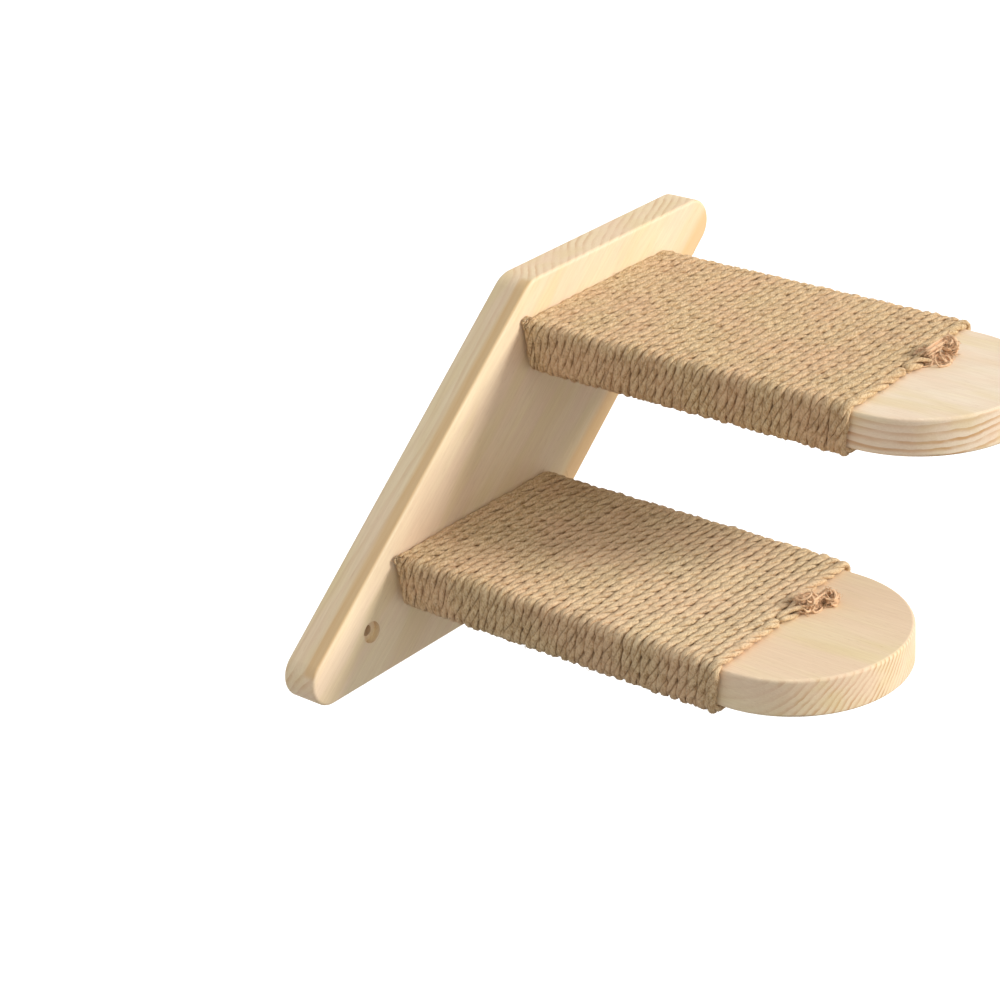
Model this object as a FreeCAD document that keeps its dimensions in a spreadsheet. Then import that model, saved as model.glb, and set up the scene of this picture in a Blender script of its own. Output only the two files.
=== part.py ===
import FreeCAD, Part

import math
import os

import Sketcher

# Wall-mounted two-step cat stair, in millimetres.
# Frame: +X to the right along the wall, -Y out of the wall, +Z up.
# The origin is the centre of the backboard's back face, which lies on the wall.

Vector = FreeCAD.Vector

# Driving dimensions. Lengths in millimetres, angles in degrees, the rest counts.
SIZES = {
    # Backboard: a plank whose long edges lean up to the right and whose ends are level.
    "board_thick": 18.0,
    "board_width": 96.9,
    "board_height": 146.8,
    "board_lean_deg": 39.5,
    "board_acute_round": 11.7,
    "board_obtuse_round": 15.0,
    "board_front_round": 1.5,
    "board_back_round": 1.5,
    # Treads: straight planks with a half-round free end.
    "tread_width": 100.0,
    "tread_thick": 17.2,
    "tread_length": 223.0,
    "tread_edge_round": 1.5,
    # Middle of the lower tread above the board's lower end, middle of the upper tread
    # below its upper end, and both treads' distance to the right of its centre line.
    "lower_tread_level": 40.9,
    "upper_tread_drop": 28.6,
    "tread_shift": 3.6,
    # Jute winding on each tread, with its loose tail on the top face.
    "rope_dia": 4.0,
    "rope_bend": 4.1,
    "rope_clear": 0.3,
    "rope_reach": 173.5,
    "rope_turn_count": 24,
    "rope_side_count": 8,
    "rope_start_level": 3.0,
    "tail_start": 43.0,
    "tail_length": 28.0,
    "tail_out": 9.0,
    "tail_bend": 20.0,
    # Countersunk screws that hold each tread from behind the board.
    "screw_dia": 4.5,
    "screw_head_dia": 8.6,
    "screw_length": 48.0,
    "screw_tip": 6.0,
    "screw_spacing": 60.0,
    "screw_sink": 0.5,
    "screw_clear": 0.1,
    # Counterbored holes for the two screws that go into the wall: how far each lies in from
    # the board's nearer long edge, and how far below the middle of the tread above it.
    "wall_screw_bore": 5.0,
    "wall_head_bore": 10.0,
    "wall_head_depth": 3.0,
    "wall_bore_inset": 19.6,
    "low_bore_drop": 17.7,
    "high_bore_drop": 27.3,
}

# Places in the wall plane, written for the sheet. The board's centre line passes
# through the origin, so its X at any level is that level over the tangent of the lean.
LOWER_Z = "(sizes.lower_tread_level - sizes.board_height / 2)"
LOWER_X = LOWER_Z + " / tan(sizes.board_lean_deg) + sizes.tread_shift"
UPPER_Z = "(sizes.board_height / 2 - sizes.upper_tread_drop)"
UPPER_X = UPPER_Z + " / tan(sizes.board_lean_deg) + sizes.tread_shift"
BORE_SIDE = "(sizes.board_width / 2 - sizes.wall_bore_inset) / sin(sizes.board_lean_deg)"
LOW_BORE_Z = "(" + LOWER_Z + " - sizes.low_bore_drop)"
LOW_BORE_X = LOW_BORE_Z + " / tan(sizes.board_lean_deg) - " + BORE_SIDE
HIGH_BORE_Z = "(" + UPPER_Z + " - sizes.high_bore_drop)"
HIGH_BORE_X = HIGH_BORE_Z + " / tan(sizes.board_lean_deg) + " + BORE_SIDE


def make_sheet(doc):
    """Put the driving dimensions into the sheet, one alias to a row."""
    sheet = doc.addObject("Spreadsheet::Sheet", "sizes")
    for row, (alias, value) in enumerate(SIZES.items(), start=1):
        sheet.set("A%d" % row, alias)
        sheet.set("B%d" % row, str(value))
        sheet.setAlias("B%d" % row, alias)
    doc.recompute()
    return sheet


def new_body(doc, label, x_place, y_place, z_place):
    """A body whose placement is tied to the sheet."""
    body = doc.addObject("PartDesign::Body", label)
    body.Label = label
    body.setExpression("Placement.Base.x", x_place)
    body.setExpression("Placement.Base.y", y_place)
    body.setExpression("Placement.Base.z", z_place)
    return body


def origin_feature(body, role):
    """The plane or axis of the body's own origin that has the role."""
    for feature in body.Origin.OriginFeatures:
        if feature.Role == role:
            return feature
    raise ValueError(role)


def origin_sketch(body, name, role):
    """A sketch on one of the body's own origin planes."""
    sketch = body.newObject("Sketcher::SketchObject", name)
    sketch.AttachmentSupport = [(origin_feature(body, role), "")]
    sketch.MapMode = "FlatFace"
    return sketch


def tie(sketch, name, constraint, expression):
    """Add a named constraint and tie its value to the sheet."""
    index = sketch.addConstraint(constraint)
    sketch.renameConstraint(index, name)
    sketch.setExpression("Constraints." + name, expression)


def joined_lines(sketch, points, closed):
    """Line segments through the points, joined end to end. Returns their numbers."""
    ends = points[1:] + points[:1] if closed else points[1:]
    lines = []
    for here, there in zip(points, ends):
        lines.append(sketch.addGeometry(Part.LineSegment(here, there), False))
    for line, following in zip(lines, lines[1:]):
        sketch.addConstraint(Sketcher.Constraint("Coincident", line, 2, following, 1))
    if closed:
        sketch.addConstraint(Sketcher.Constraint("Coincident", lines[-1], 2, lines[0], 1))
    return lines


def circle_at(sketch, name, start, radius, x_place, y_place, radius_value):
    """A circle whose centre, from the sketch's origin, and radius follow the sheet."""
    circle = sketch.addGeometry(Part.Circle(start, Vector(0, 0, 1), radius), False)
    tie(sketch, name + "_x", Sketcher.Constraint("DistanceX", -1, 1, circle, 3, start.x), x_place)
    tie(sketch, name + "_z", Sketcher.Constraint("DistanceY", -1, 1, circle, 3, start.y), y_place)
    tie(sketch, name + "_radius", Sketcher.Constraint("Radius", circle, radius), radius_value)


def edges_where(shape, wanted):
    """Names of the edges for which wanted(edge) is true."""
    return ["Edge%d" % (place + 1) for place, edge in enumerate(shape.Edges) if wanted(edge)]


def lies_at_y(edge, level):
    """True for an edge that lies wholly in the plane at this Y."""
    box = edge.BoundBox
    return abs(box.YMin - level) < 1e-4 and abs(box.YMax - level) < 1e-4


def round_edges(body, name, base, wanted, radius):
    """A fillet on the chosen edges of the base feature."""
    fillet = body.newObject("PartDesign::Fillet", name)
    fillet.Base = (base, edges_where(base.Shape, wanted))
    fillet.setExpression("Radius", radius)
    body.Document.recompute()
    return fillet


def cut(body, name, sketch, depth):
    """A pocket from the sketch, through all or to a depth. It has to remove material."""
    before = body.Tip.Shape.Volume
    pocket = body.newObject("PartDesign::Pocket", name)
    pocket.Profile = sketch
    if depth is None:
        pocket.Type = "ThroughAll"
    else:
        pocket.setExpression("Length", depth)
    body.Document.recompute()
    if pocket.Shape.isNull() or pocket.Shape.Volume > before - 1.0:
        pocket.Reversed = True
        body.Document.recompute()
    if pocket.Shape.Volume > before - 1.0:
        raise RuntimeError(name + " cuts nothing")
    return pocket


def board_outline(body, size):
    """The leaning outline, centred on the origin: level ends and two leaning sides."""
    lean = math.radians(size("board_lean_deg"))
    across = size("board_width") / math.sin(lean)
    high = size("board_height")
    run = high / math.tan(lean)
    left, low = -(across + run) / 2, -high / 2
    points = [
        Vector(left, low, 0),
        Vector(left + across, low, 0),
        Vector(left + across + run, -low, 0),
        Vector(left + run, -low, 0),
    ]
    sketch = origin_sketch(body, "board_outline", "XZ_Plane")
    bottom, right, top, left_side = joined_lines(sketch, points, True)
    sketch.addConstraint(Sketcher.Constraint("Horizontal", bottom))
    sketch.addConstraint(Sketcher.Constraint("Horizontal", top))
    sketch.addConstraint(Sketcher.Constraint("Parallel", right, left_side))
    sketch.addConstraint(Sketcher.Constraint("Symmetric", bottom, 1, right, 2, -1, 1))
    tie(sketch, "width", Sketcher.Constraint("DistanceX", bottom, 1, bottom, 2, across),
        "sizes.board_width / sin(sizes.board_lean_deg)")
    tie(sketch, "height", Sketcher.Constraint("DistanceY", right, 1, right, 2, high),
        "sizes.board_height")
    tie(sketch, "run", Sketcher.Constraint("DistanceX", right, 1, right, 2, run),
        "sizes.board_height / tan(sizes.board_lean_deg)")
    return sketch


def make_board(doc, size):
    """The backboard with its rounded corners, soft edges and screw holes."""
    body = new_body(doc, "wall_board", "0 mm", "0 mm", "0 mm")
    outline = board_outline(body, size)
    plank = body.newObject("PartDesign::Pad", "board_plank")
    plank.Profile = outline
    plank.setExpression("Length", "sizes.board_thick")
    doc.recompute()
    front = -size("board_thick")

    # The corners of the outline: the sharp pair at the far ends, the blunt pair between them.
    reach = plank.Shape.BoundBox.XMax

    def through(edge):
        return edge.BoundBox.YLength > size("board_thick") / 2

    def sharp(edge):
        return through(edge) and abs(abs(edge.CenterOfMass.x) - reach) < 1e-4

    acute = round_edges(body, "acute_corners", plank, sharp, "sizes.board_acute_round")
    blunt_x = abs(size("board_height") / math.tan(math.radians(size("board_lean_deg"))) / 2
                  - size("board_width") / math.sin(math.radians(size("board_lean_deg"))) / 2)

    def blunt(edge):
        centre = edge.CenterOfMass
        return through(edge) and abs(abs(centre.x) - blunt_x) < 1e-4

    obtuse = round_edges(body, "obtuse_corners", acute, blunt, "sizes.board_obtuse_round")
    front_edges = round_edges(body, "front_edges", obtuse, lambda edge: lies_at_y(edge, front),
                              "sizes.board_front_round")
    round_edges(body, "back_edges", front_edges, lambda edge: lies_at_y(edge, 0),
                "sizes.board_back_round")

    # Clearance holes for the tread screws, countersunk in the back face.
    holes = origin_sketch(body, "tread_screw_holes", "XZ_Plane")
    hole_radius = size("screw_dia") / 2 + size("screw_clear")
    for step, x_place, z_place in (("lower", LOWER_X, LOWER_Z), ("upper", UPPER_X, UPPER_Z)):
        for side, sign in (("left", "-"), ("right", "+")):
            circle_at(holes, step + "_" + side, Vector(0, 0, 0), hole_radius,
                      "%s %s sizes.screw_spacing / 2" % (x_place, sign), z_place,
                      "sizes.screw_dia / 2 + sizes.screw_clear")
    drilled = cut(body, "tread_screw_clearance", holes, None)

    def back_rim(edge):
        return lies_at_y(edge, 0) and edge.Curve.TypeId == "Part::GeomCircle" and edge.isClosed()

    sinks = body.newObject("PartDesign::Chamfer", "tread_screw_countersinks")
    sinks.Base = (drilled, edges_where(drilled.Shape, back_rim))
    sinks.setExpression("Size", "(sizes.screw_head_dia - sizes.screw_dia) / 2 + sizes.screw_sink")
    doc.recompute()

    # Wall-screw holes with a counterbore in the front face for each screw head.
    bores = origin_sketch(body, "wall_screw_holes", "XZ_Plane")
    recesses = origin_sketch(body, "wall_head_recesses", "XZ_Plane")
    recesses.setExpression("AttachmentOffset.Base.z", "sizes.board_thick")
    for name, x_place, z_place in (("low", LOW_BORE_X, LOW_BORE_Z),
                                   ("high", HIGH_BORE_X, HIGH_BORE_Z)):
        circle_at(bores, name, Vector(0, 0, 0), size("wall_screw_bore") / 2, x_place, z_place,
                  "sizes.wall_screw_bore / 2")
        circle_at(recesses, name, Vector(0, 0, 0), size("wall_head_bore") / 2, x_place, z_place,
                  "sizes.wall_head_bore / 2")
    cut(body, "wall_screw_bores", bores, None)
    cut(body, "wall_head_counterbores", recesses, "sizes.wall_head_depth")
    return body


def make_tread(doc, label, x_place, z_place, size):
    """A level plank that butts on the board's front face and ends in a half circle."""
    body = new_body(doc, label, x_place, "-sizes.board_thick", z_place)
    half = size("tread_width") / 2
    straight = size("tread_length") - half
    sketch = origin_sketch(body, label + "_outline", "XY_Plane")
    points = [Vector(half, -straight, 0), Vector(half, 0, 0), Vector(-half, 0, 0),
              Vector(-half, -straight, 0)]
    right, butt, left = joined_lines(sketch, points, False)
    tip = sketch.addGeometry(Part.ArcOfCircle(
        Part.Circle(Vector(0, -straight, 0), Vector(0, 0, 1), half), math.pi, 2 * math.pi), False)
    sketch.addConstraint(Sketcher.Constraint("Tangent", left, 2, tip, 1))
    sketch.addConstraint(Sketcher.Constraint("Tangent", tip, 2, right, 1))
    sketch.addConstraint(Sketcher.Constraint("Vertical", left))
    sketch.addConstraint(Sketcher.Constraint("Vertical", right))
    sketch.addConstraint(Sketcher.Constraint("Symmetric", butt, 1, butt, 2, -1, 1))
    tie(sketch, "width", Sketcher.Constraint("DistanceX", butt, 2, butt, 1, 2 * half),
        "sizes.tread_width")
    tie(sketch, "straight", Sketcher.Constraint("DistanceY", right, 1, right, 2, straight),
        "sizes.tread_length - sizes.tread_width / 2")
    plank = body.newObject("PartDesign::Pad", label + "_plank")
    plank.Profile = sketch
    plank.setExpression("Length", "sizes.tread_thick")
    plank.Midplane = True
    doc.recompute()

    def long_edge(edge):
        box = edge.BoundBox
        return box.ZLength < 1e-4 and box.YLength > 1e-4

    round_edges(body, label + "_edges", plank, long_edge, "sizes.tread_edge_round")
    pilots = origin_sketch(body, label + "_pilot_holes", "XZ_Plane")
    pilot_radius = size("screw_dia") / 2 + size("screw_clear")
    for side, sign in (("left", "-"), ("right", "")):
        circle_at(pilots, side, Vector(0, 0, 0), pilot_radius, sign + "sizes.screw_spacing / 2",
                  "0 mm", "sizes.screw_dia / 2 + sizes.screw_clear")
    cut(body, label + "_pilots", pilots,
        "sizes.screw_length + sizes.screw_sink + sizes.screw_clear - sizes.board_thick")
    return body


def make_screws(doc, label, x_place, z_place, size):
    """A pair of countersunk screws, heads just under the board's back face."""
    body = new_body(doc, label, x_place + " - sizes.screw_spacing / 2", "-sizes.screw_sink",
                    z_place)
    body.AllowCompound = True
    head = size("screw_head_dia") / 2
    shank = size("screw_dia") / 2
    length = size("screw_length")
    tip = size("screw_tip")
    points = [Vector(0, 0, 0), Vector(head, 0, 0), Vector(shank, shank - head, 0),
              Vector(shank, tip - length, 0), Vector(0, -length, 0)]
    sketch = origin_sketch(body, label + "_profile", "XY_Plane")
    face, cone, side, point, axis = joined_lines(sketch, points, True)
    sketch.addConstraint(Sketcher.Constraint("Coincident", face, 1, -1, 1))
    sketch.addConstraint(Sketcher.Constraint("Horizontal", face))
    sketch.addConstraint(Sketcher.Constraint("Vertical", side))
    sketch.addConstraint(Sketcher.Constraint("Vertical", axis))
    tie(sketch, "head", Sketcher.Constraint("DistanceX", face, 1, face, 2, head),
        "sizes.screw_head_dia / 2")
    tie(sketch, "shank", Sketcher.Constraint("DistanceX", point, 2, side, 2, shank),
        "sizes.screw_dia / 2")
    tie(sketch, "head_depth", Sketcher.Constraint("DistanceY", cone, 2, cone, 1, head - shank),
        "(sizes.screw_head_dia - sizes.screw_dia) / 2")
    tie(sketch, "tip", Sketcher.Constraint("DistanceY", point, 2, point, 1, tip),
        "sizes.screw_tip")
    tie(sketch, "length", Sketcher.Constraint("DistanceY", point, 2, face, 1, length),
        "sizes.screw_length")
    turned = body.newObject("PartDesign::Revolution", label + "_turned")
    turned.Profile = sketch
    turned.ReferenceAxis = (sketch, ["V_Axis"])
    turned.Angle = 360
    doc.recompute()
    pair = body.newObject("PartDesign::LinearPattern", label + "_pair")
    pair.Originals = [turned]
    pair.Direction = (origin_feature(body, "X_Axis"), [""])
    pair.setExpression("Length", "sizes.screw_spacing")
    pair.Occurrences = 2
    body.Tip = pair
    doc.recompute()
    return body


def winding_points(size):
    """Corner points of the winding round a tread, in the tread's own frame, and their bends.

    The rope starts beside the tread's left side at the board, goes up, over, down and
    back below, half a pitch outward on each level pass, and its tail lies on the top.
    """
    off = size("rope_dia") / 2 + size("rope_clear")
    side = size("tread_width") / 2 + off
    level = size("tread_thick") / 2 + off
    first = off
    last = size("rope_reach") - size("rope_dia") / 2
    turns = int(size("rope_turn_count"))
    pitch = (last - first) / turns
    bend = size("rope_bend")
    points = [(Vector(-side, -first, size("rope_start_level") - level), 0)]
    for turn in range(turns):
        out = first + turn * pitch
        points.append((Vector(-side, -out, level), bend))
        points.append((Vector(side, -out - pitch / 2, level), bend))
        points.append((Vector(side, -out - pitch / 2, -level), bend))
        points.append((Vector(-side, -out - pitch, -level), bend))
    points.append((Vector(-side, -last, level), bend))
    tail_x = size("tail_start") - size("tread_width") / 2
    points.append((Vector(tail_x, -last, level), size("tail_bend")))
    points.append((Vector(tail_x + size("tail_length"), -last - size("tail_out"), level), 0))
    return points, pitch


def bent_path(points):
    """Straight runs joined by tangent arcs. Returns the edges."""
    edges = []
    at = points[0][0]
    for (before, _), (corner, radius), (after, _) in zip(points, points[1:], points[2:]):
        back = (before - corner).normalize()
        ahead = (after - corner).normalize()
        half_angle = back.getAngle(ahead) / 2
        tangent = radius / math.tan(half_angle)
        inward = (back + ahead).normalize()
        middle = corner + inward * (radius / math.sin(half_angle) - radius)
        start, end = corner + back * tangent, corner + ahead * tangent
        edges.append(Part.LineSegment(at, start).toShape())
        edges.append(Part.Arc(start, middle, end).toShape())
        at = end
    edges.append(Part.LineSegment(at, points[-1][0]).toShape())
    return edges


def least_gap(edges, diameter):
    """The smallest distance between stretches of the path, less the diameter, on points."""
    spots = []
    for edge in edges:
        count = max(2, int(edge.Length / diameter))
        spots.extend(edge.discretize(count)[:-1])
    skip = 4
    least = None
    for place, spot in enumerate(spots):
        for other in spots[place + skip:]:
            apart = (spot - other).Length
            if least is None or apart < least:
                least = apart
    return least - diameter


def wound_tube(size):
    """One unbroken tube along the winding, in the tread's own frame."""
    points, pitch = winding_points(size)
    edges = bent_path(points)
    radius = size("rope_dia") / 2
    start = points[0][0]
    sides = int(size("rope_side_count"))
    rim = []
    for number in range(sides + 1):
        turn = 2 * math.pi * (number % sides + 0.5) / sides
        rim.append(start + Vector(radius * math.cos(turn), radius * math.sin(turn), 0))
    tube = Part.BRepOffsetAPI.MakePipeShell(Part.Wire(edges))
    tube.add(Part.makePolygon(rim))
    tube.build()
    tube.makeSolid()
    bends = [bend for _, bend in points[1:-1]]
    print("winding: pitch %.3f, bends %.2f to %.2f, rope %.2f, length %.0f, least gap %.3f"
          % (pitch, min(bends), max(bends), 2 * radius, sum(edge.Length for edge in edges),
             least_gap(edges, 2 * radius)))
    return tube.shape()


def make_rope(doc, label, shape, tread):
    """The winding as a piece of its own, placed with its tread."""
    rope = doc.addObject("Part::Feature", label)
    rope.Label = label
    rope.Shape = shape.copy()
    rope.Placement = tread.Placement
    return rope


def check(doc, pieces):
    """Stop before anything is written if an object failed or a piece isn't sound."""
    for thing in doc.Objects:
        if "Invalid" in thing.State or "Error" in thing.State:
            raise RuntimeError("failed: " + thing.Name)
    for piece in pieces:
        if piece.Shape.isNull() or not piece.Shape.isValid() or not piece.Shape.Solids:
            raise RuntimeError("not sound: " + piece.Label)
        print("%-20s solids %d volume %.1f" % (piece.Label, len(piece.Shape.Solids),
                                              piece.Shape.Volume))


def main():
    doc = FreeCAD.newDocument("cat_wall_stair")
    sheet = make_sheet(doc)
    size = sheet.get
    board = make_board(doc, size)
    lower_tread = make_tread(doc, "lower_tread", LOWER_X, LOWER_Z, size)
    upper_tread = make_tread(doc, "upper_tread", UPPER_X, UPPER_Z, size)
    lower_screws = make_screws(doc, "lower_tread_screws", LOWER_X, LOWER_Z, size)
    upper_screws = make_screws(doc, "upper_tread_screws", UPPER_X, UPPER_Z, size)
    doc.recompute()
    winding = wound_tube(size)
    lower_rope = make_rope(doc, "lower_rope", winding, lower_tread)
    upper_rope = make_rope(doc, "upper_rope", winding, upper_tread)
    doc.recompute()
    pieces = [board, lower_tread, upper_tread, lower_screws, upper_screws, lower_rope,
              upper_rope]
    check(doc, pieces)
    os.makedirs("parts", exist_ok=True)
    for piece in pieces:
        piece.Shape.exportStep("parts/%s.step" % piece.Label)


main()
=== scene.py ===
"""The looks of a wall-mounted two-step cat stair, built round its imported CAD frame.

The planks stay the CAD solids and get a pine that runs through them. The ropes become three laid strands each, with
their fuzz, their loose start and their frayed end, and the screws get threads and a cross recess.

The ropes are worked out in a tread's own millimetres: across to the right, out from the wall, and up, all from the
middle of the tread's butt end.
"""

import math

import bpy
import numpy as np
from mathutils import Matrix, Vector


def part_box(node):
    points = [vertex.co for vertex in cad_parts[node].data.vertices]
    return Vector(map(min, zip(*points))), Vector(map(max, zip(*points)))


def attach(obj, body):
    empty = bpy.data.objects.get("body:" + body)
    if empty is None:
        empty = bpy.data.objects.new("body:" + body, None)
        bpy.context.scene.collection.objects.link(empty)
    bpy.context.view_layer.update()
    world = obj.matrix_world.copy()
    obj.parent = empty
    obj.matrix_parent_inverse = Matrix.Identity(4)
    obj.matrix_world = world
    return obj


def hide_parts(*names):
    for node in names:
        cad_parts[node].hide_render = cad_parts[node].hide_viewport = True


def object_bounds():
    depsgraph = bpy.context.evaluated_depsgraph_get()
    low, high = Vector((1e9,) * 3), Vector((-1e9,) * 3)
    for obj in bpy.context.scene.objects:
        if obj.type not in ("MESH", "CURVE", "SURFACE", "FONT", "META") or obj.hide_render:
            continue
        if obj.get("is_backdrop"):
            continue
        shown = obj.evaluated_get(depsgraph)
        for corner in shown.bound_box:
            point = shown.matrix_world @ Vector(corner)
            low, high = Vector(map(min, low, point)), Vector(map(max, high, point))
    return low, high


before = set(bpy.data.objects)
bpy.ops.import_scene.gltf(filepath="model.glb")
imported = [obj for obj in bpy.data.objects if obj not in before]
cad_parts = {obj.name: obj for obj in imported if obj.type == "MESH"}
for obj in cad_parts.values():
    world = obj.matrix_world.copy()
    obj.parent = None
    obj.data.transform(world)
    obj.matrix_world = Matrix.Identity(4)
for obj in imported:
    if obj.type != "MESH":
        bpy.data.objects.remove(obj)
cad_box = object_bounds()

MM = 0.001
RIGHT, OUT, UP = (1.0, 0.0, 0.0), (0.0, -1.0, 0.0), (0.0, 0.0, 1.0)
BOARD_LEAN = math.radians(39.5)

# The camera that the photograph was taken with.
CAMERA_PLACE = (-0.87100, -0.78341, 0.52849)
CAMERA_TURN, CAMERA_RISE, CAMERA_ROLL = (math.radians(d) for d in (-48.119, 25.668, -3.796))
CAMERA_LENS, CAMERA_SENSOR = 101.47, 36.0
CAMERA_CLIP = (0.05, 60.0)

# The key light comes from the front, the right and above. The sky's strength goes from low to top between the two
# heights of SKY_BAND, which are sines of the rise. The floor lies far below and has a glow of its own.
KEY_DIRECTION = (0.44, -0.80, 0.40)
KEY_STRENGTH, KEY_COLOUR = 2.75, (1.0, 0.985, 0.96)
KEY_SPREAD = math.radians(15)
SKY_LOW, SKY_TOP = 0.33, 0.68
SKY_BAND = (-0.6, 0.2)
FLOOR_DROP, FLOOR_REACH = 0.65, 55.0
FLOOR_COLOUR, FLOOR_GLOW = (0.9, 0.9, 0.9, 1.0), 0.45

# The rope's section, in millimetres: three strands pressed to a rounded rectangle, whose outline has the power
# ROPE_SQUARE where an ellipse has 2. ROUGHNESS is the fibres' unevenness, as a share of the section.
STRANDS = 3
ROPE_HALF_THICK, ROPE_HALF_WIDE, ROPE_SQUARE = 2.02, 2.56, 2.35
GROOVE_DEPTH, GROOVE_POWER = 0.85, 2.6
ROUGHNESS = 0.040
LAY_LENGTH = 24.0

# A strand's section, as (share of its third of the rope to either side, share of the rope's radius).
STRAND_SECTION = (
    (-1.08, 1.0), (-0.72, 1.0), (-0.36, 1.0), (0.0, 1.0), (0.36, 1.0), (0.72, 1.0), (1.08, 1.0), (0.0, 0.12),
)

# The winding: how many turns and how far apart, and how far a turn steps out on the top, on each side and on the
# bottom, as shares of that pitch.
WINDINGS = {"lower": (35, 4.80), "upper": (36, 4.663)}
ROPE_SEEDS = {"lower": 5, "upper": 8}
STEP_TOP, STEP_SIDE, STEP_BOTTOM = -0.55, 0.45, 0.65
SECTIONS_PER_TURN = 288
TREAD_EDGE_ROUND = 1.5
WOOD_GAP, BOARD_GAP = 0.05, 0.15
# The rope starts FIRST_SIDE before its first top pass, at START_SHARE of its thickness, and FIRST_TURN_OUT from the
# board. At the foot of the left side the turns lean out by FIRST_LEAN, less with each one of the first LEAN_TURNS.
FIRST_SIDE, START_SHARE, FIRST_TURN_OUT = 27.0, 0.72, 3.3
FIRST_LEAN, LEAN_TURNS = 3.8, 8.0

# Unevenness along the rope, as (a new value about every so many millimetres, within this much either way): of its
# place in millimetres, of its twist in radians, and of the rest in shares.
SIDEWAYS_DRIFT = ((55.0, 0.22), (13.0, 0.12), (4.0, 0.09))
LIFT_DRIFT = ((35.0, 0.16), (9.0, 0.12))
TWIST_DRIFT = ((160.0, 2.6), (45.0, 1.2), (14.0, 0.5))
PHASE_DRIFT = ((17.0, 0.16),)
ROPE_DRIFT = ((18.0, 0.04), (120.0, 0.02))
STRAND_DRIFT = ((9.0, 0.06), (3.2, 0.05))
GROOVE_DRIFT = ((11.0, 0.55),)

# The loose end, as (across from the wood's left edge, out from the last turn, up from the rope's bed). It is pinched
# where it leaves the winding, and over the last OPEN_LENGTH its strands come OPEN_WIDTH apart.
TAIL_ROUTE = (
    (37.0, 0.0, 0.0), (40.5, 0.0, 0.0), (43.6, -0.2, -0.9), (47.0, -0.2, -0.2), (51.0, 0.3, 0.0),
    (55.5, 0.7, 0.3), (60.0, 0.9, 0.5),
)
PINCH_AT, PINCH_WIDTH, PINCH_SHARE = 43.6, 1.2, 0.82
OPEN_LENGTH, OPEN_WIDTH = 16.0, 1.3
# The end's three strands curl over: how far past the rope's end each does, in which radius, and through what angle.
# CURL_FACES is the way that the curls face, and CURL_SPREAD how much that differs from yarn to yarn.
CURLS = ((-1.0, 2.7, 300.0), (5.0, 3.1, 330.0), (11.0, 2.8, 290.0))
CURL_FACES, CURL_SPREAD = (-0.45, 0.55, 0.70), 0.30
YARN_COUNT, YARN_SPREAD, YARN_LIFT = 34, (0.8, 0.8, 0.7), (0.0, 0.0, 0.6)
STRAIGHT_POINTS, CURL_POINTS = 6, 20
# Least and most of a yarn's curl and of its angle, as shares, and how far and often it sways on its way.
CURL_SIZE, CURL_ANGLE, YARN_SWAY, YARN_SWING = (0.45, 1.2), (0.55, 1.1), 0.35, 9.0
YARN_START, CURL_CLIMB = -2.5, 0.25  # how far past the rope's end a yarn begins, and how steeply its curl climbs
YARN_BED, BEARD_BED = 0.5, 0.15  # how far yarns and fibres stay off the wood
# How thick yarns and fibres are: (shares of their length, radii there, least and most share of that from one to
# the next).
YARN_THICK = ((0, 0.1, 0.85, 1), (0.25, 0.55, 0.48, 0.15), (0.6, 1.25))
BEARD_THICK = ((0, 0.3, 1), (0.12, 0.18, 0.06), (0.6, 1.5))
FUZZ_THICK = ((0, 1), (0.11, 0.03), (0.7, 1.4))
# The fuzz leaves the rope within FUZZ_TURN of straight outward, from FUZZ_SINK inside its skin. It goes along the
# rope by 1, across it and off it within FUZZ_ACROSS and FUZZ_OFF, and droops back by FUZZ_DROOP. FUZZ_LENGTH is the
# shape and the scale of a gamma spread.
FUZZ_COUNT, FUZZ_TURN, FUZZ_SINK, FUZZ_LENGTH, FUZZ_CURL = 9000, 1.5, 0.25, (3.0, 0.55), 0.5
FUZZ_ACROSS, FUZZ_OFF, FUZZ_DROOP = (-1.0, 1.0), (0.1, 0.8), 0.4
# The beard's fibres bend by BEARD_BEND radians, over least and most of their length.
BEARD_COUNT, BEARD_BEND, BEARD_LENGTH = 1000, 2.4, (1.0, 3.2)
# The loose loops at the rope's start: their middle across from the tread's top left edge, out from the board and up
# from the edge, how far they scatter about it and may come out, their turn in half circles, radius and tilt.
LOOP_PLACE, LOOP_SCATTER, LOOP_OUT = (-1.2, 2.4, 1.6), 0.8, (0.6, 6.0)
LOOP_TURN, LOOP_SIZE, LOOP_TILT = (1.1, 1.7), (1.4, 2.8), (0.6, 1.5, 0.2)
LOOP_COUNT, LOOP_RADIUS, LOOP_SPREAD, LOOP_TAPER = 7, 0.5, (0.7, 1.3), 0.35

# The screws, in millimetres. The lips are the small bevels of the head's rim and of its cross recess, as
# (wide, deep).
HEAD_RADIUS, HEAD_RIM, HEAD_DEPTH, HEAD_LIP = 4.3, 0.35, 2.6, (0.15, 0.12)
SHANK_LENGTH, TIP_LENGTH, TIP_SHARE = 9.0, 7.0, 0.08
CORE_RADIUS, THREAD_RADIUS, THREAD_PITCH, THREAD_SHARPNESS = 1.6, 2.25, 1.8, 4.5
RECESS_REACH, RECESS_HALF, RECESS_DEPTH, RECESS_LIP = 2.4, 0.55, 2.0, (0.08, 0.06)
SHANK_STEP, THREAD_STEP = 2.0, 0.3


def paint(red, green, blue):
    """A colour given as it looks on a screen, from 0 to 255, as the linear one that a shader takes."""
    def linear(c):
        c /= 255
        return c / 12.92 if c <= 0.04045 else ((c + 0.055) / 1.055) ** 2.4
    return (linear(red), linear(green), linear(blue), 1.0)


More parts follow.
